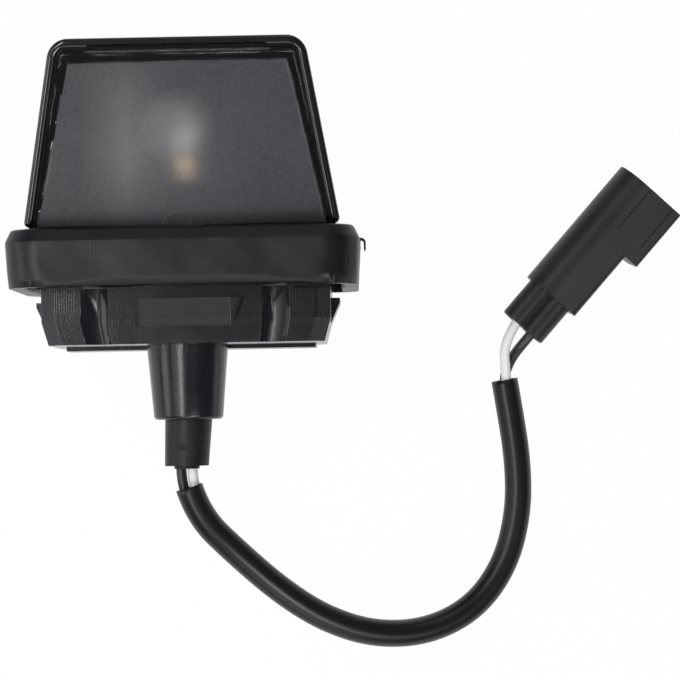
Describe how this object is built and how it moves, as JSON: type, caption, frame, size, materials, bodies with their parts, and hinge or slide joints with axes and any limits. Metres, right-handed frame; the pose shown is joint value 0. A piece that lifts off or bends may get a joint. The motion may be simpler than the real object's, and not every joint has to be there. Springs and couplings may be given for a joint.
{
  "type": "number plate lamp",
  "caption": "Snap-in number plate lamp: tapered hood with a frosted lens over an LED board, rubber flange seal, rear housing with snap lugs and a sleeved pigtail with a two-way connector.",
  "frame": {"origin": "centre of the rubber seal's rear face, which seats on the panel", "axes": "+Y out of the panel towards the tip of the hood, -Y through the panel to the cable, +Z the side that the lens faces"},
  "size_m": [0.1166, 0.1046, 0.0414],
  "materials": {
    "hood_plastic": "glossy black moulding",
    "lens_plastic": "clear, glossy border and frosted field",
    "seal_rubber": "soft satin rubber",
    "housing_plastic": "satin black moulding",
    "grommet_rubber": "matte rubber",
    "black_insulation": "satin insulation",
    "white_insulation": "satin insulation",
    "sleeve_plastic": "satin tubing",
    "connector_plastic": "satin black moulding",
    "board_laminate": "dark solder mask",
    "screw_steel": "zinc plated",
    "led_frame": "white moulding",
    "phosphor": "yellow resin",
    "resistor_ceramic": "pale ceramic",
    "diode_epoxy": "dark epoxy",
    "capacitor_ceramic": "tan ceramic",
    "solder": "bright solder",
    "terminal_metal": "tinned brass",
    "lock_plastic": "satin moulding",
    "wire_seal_rubber": "soft rubber"
  },
  "bodies": {
    "root": {"hood": "hood_plastic", "lens": "lens_plastic", "flange_seal": "seal_rubber", "rear_housing": "housing_plastic", "cable_grommet": "grommet_rubber", "wire_black": "black_insulation", "wire_white": "white_insulation", "cable_sleeve": "sleeve_plastic", "connector_shell": "connector_plastic", "led_board": "board_laminate", "board_screws": "screw_steel", "led_package": "led_frame", "led_phosphor": "phosphor", "series_resistor": "resistor_ceramic", "protection_diode": "diode_epoxy", "chip_capacitors": "capacitor_ceramic", "solder_joints": "solder", "terminal_pins": "terminal_metal", "terminal_lock": "lock_plastic", "wire_seals": "wire_seal_rubber"}
  },
  "joints": []
}
